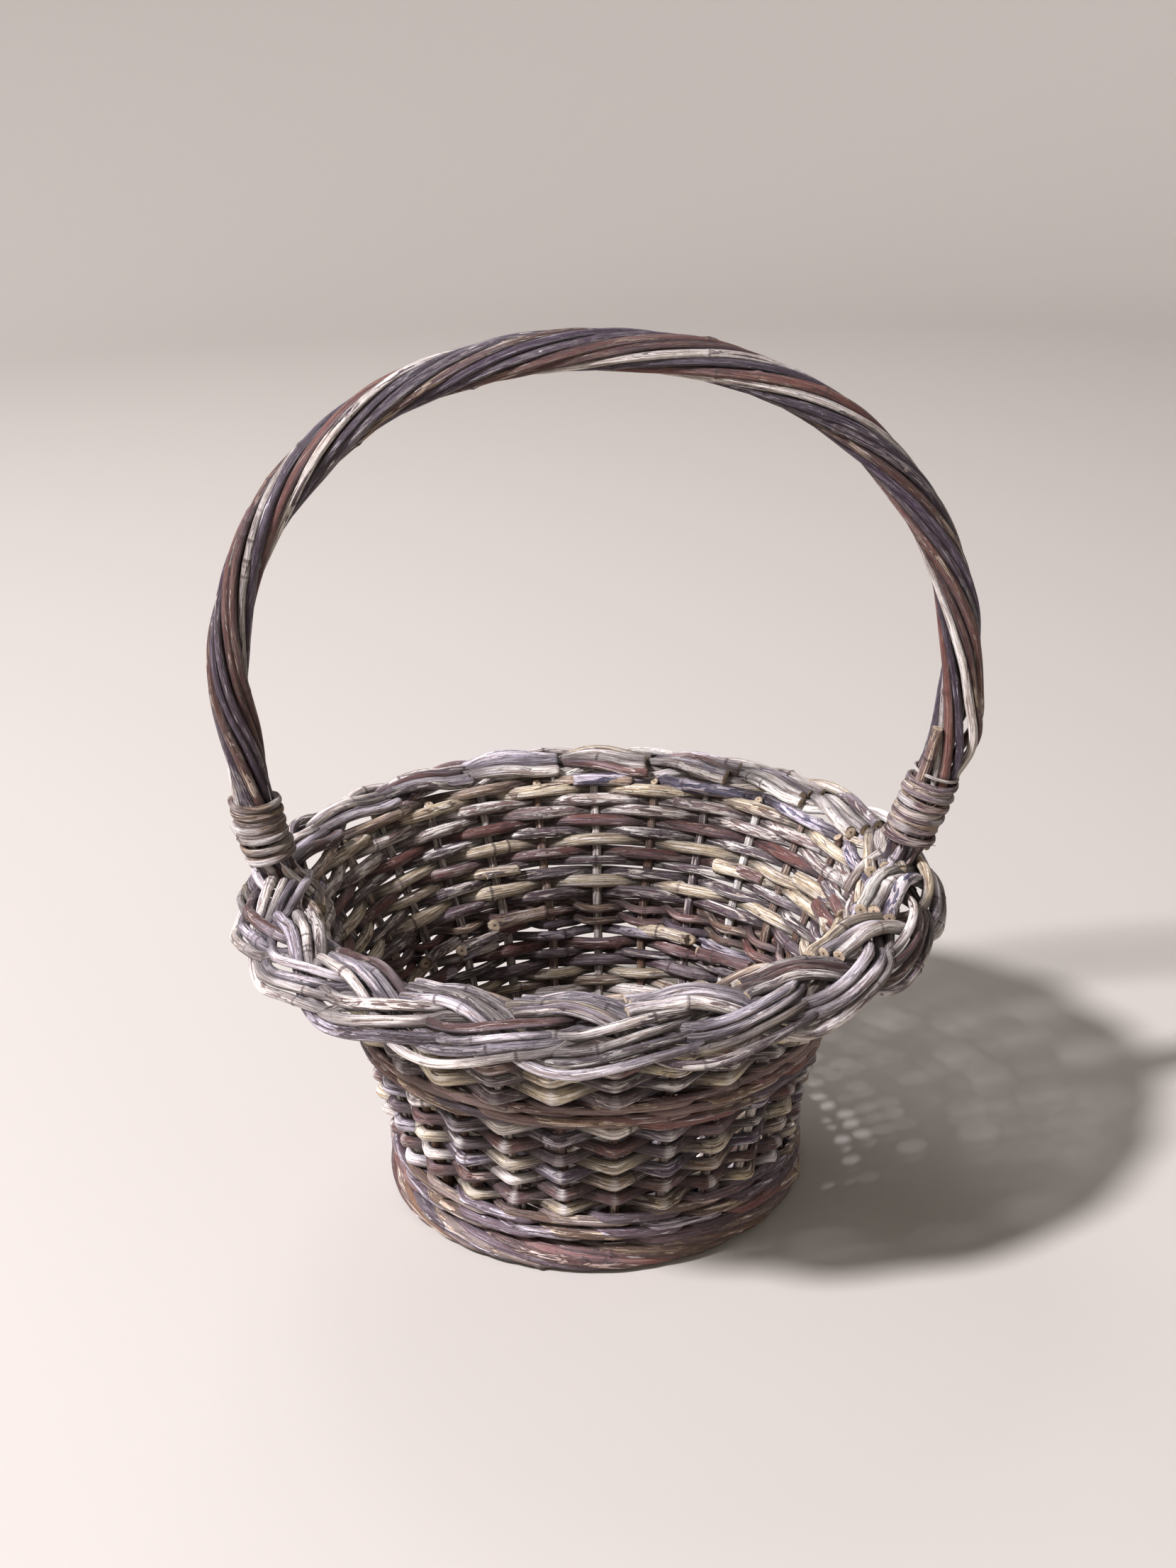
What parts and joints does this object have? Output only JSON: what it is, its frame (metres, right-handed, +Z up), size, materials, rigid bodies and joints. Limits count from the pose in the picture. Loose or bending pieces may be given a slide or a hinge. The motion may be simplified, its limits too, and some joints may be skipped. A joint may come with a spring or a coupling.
{
  "type": "woven willow basket",
  "caption": "Round woven willow basket with flared sides, a plaited rim and a fixed hoop handle wound from twisted rods and bound at both feet",
  "frame": {"origin": "Centre of the basket's foot on the surface it stands on", "axes": "+Z up; +X along the handle's span, from the left leg to the right leg; -Y is the front"},
  "size_m": [0.3114, 0.299, 0.3663],
  "materials": {
    "base_stick_wood": "dry willow sticks, peeled, matt",
    "stake_wood": "brown willow stakes with bark, weathered, matt",
    "weave_wood": "unpeeled and part-peeled willow rods, weathered grey, tan and purple-brown, matt with fine grain",
    "border_wood": "plaited willow rods, bleached grey and tan with darker bark patches, matt",
    "handle_wood": "twisted willow rods, red-brown and purple bark with grey weathering, low sheen",
    "binding_wood": "split pale willow strip, dry and fibrous, matt"
  },
  "bodies": {
    "root": {"base_stick_1": "base_stick_wood", "base_stick_2": "base_stick_wood", "base_stick_3": "base_stick_wood", "base_stick_4": "base_stick_wood", "base_stick_5": "base_stick_wood", "base_stick_6": "base_stick_wood", "base_stick_7": "base_stick_wood", "base_weave": "weave_wood", "border_strand_1": "border_wood", "border_strand_2": "border_wood", "border_strand_3": "border_wood", "foot_border": "border_wood", "handle_core": "handle_wood", "handle_rod_1": "handle_wood", "handle_rod_2": "handle_wood", "handle_rod_3": "handle_wood", "handle_rod_4": "handle_wood", "handle_rod_5": "handle_wood", "handle_rod_6": "handle_wood", "handle_rod_7": "handle_wood", "left_binding": "binding_wood", "lower_siding": "weave_wood", "middle_wale": "weave_wood", "right_binding": "binding_wood", "side_stake_01": "stake_wood", "side_stake_02": "stake_wood", "side_stake_03": "stake_wood", "side_stake_04": "stake_wood", "side_stake_05": "stake_wood", "side_stake_06": "stake_wood", "side_stake_07": "stake_wood", "side_stake_08": "stake_wood", "side_stake_09": "stake_wood", "side_stake_10": "stake_wood", "side_stake_11": "stake_wood", "side_stake_12": "stake_wood", "side_stake_13": "stake_wood", "side_stake_14": "stake_wood", "side_stake_15": "stake_wood", "side_stake_16": "stake_wood", "side_stake_17": "stake_wood", "side_stake_18": "stake_wood", "side_stake_19": "stake_wood", "side_stake_20": "stake_wood", "side_stake_21": "stake_wood", "side_stake_22": "stake_wood", "side_stake_23": "stake_wood", "side_stake_24": "stake_wood", "side_stake_25": "stake_wood", "side_stake_26": "stake_wood", "side_stake_27": "stake_wood", "top_wale": "weave_wood", "upper_siding": "weave_wood", "upsett_wale": "weave_wood"}
  },
  "joints": []
}
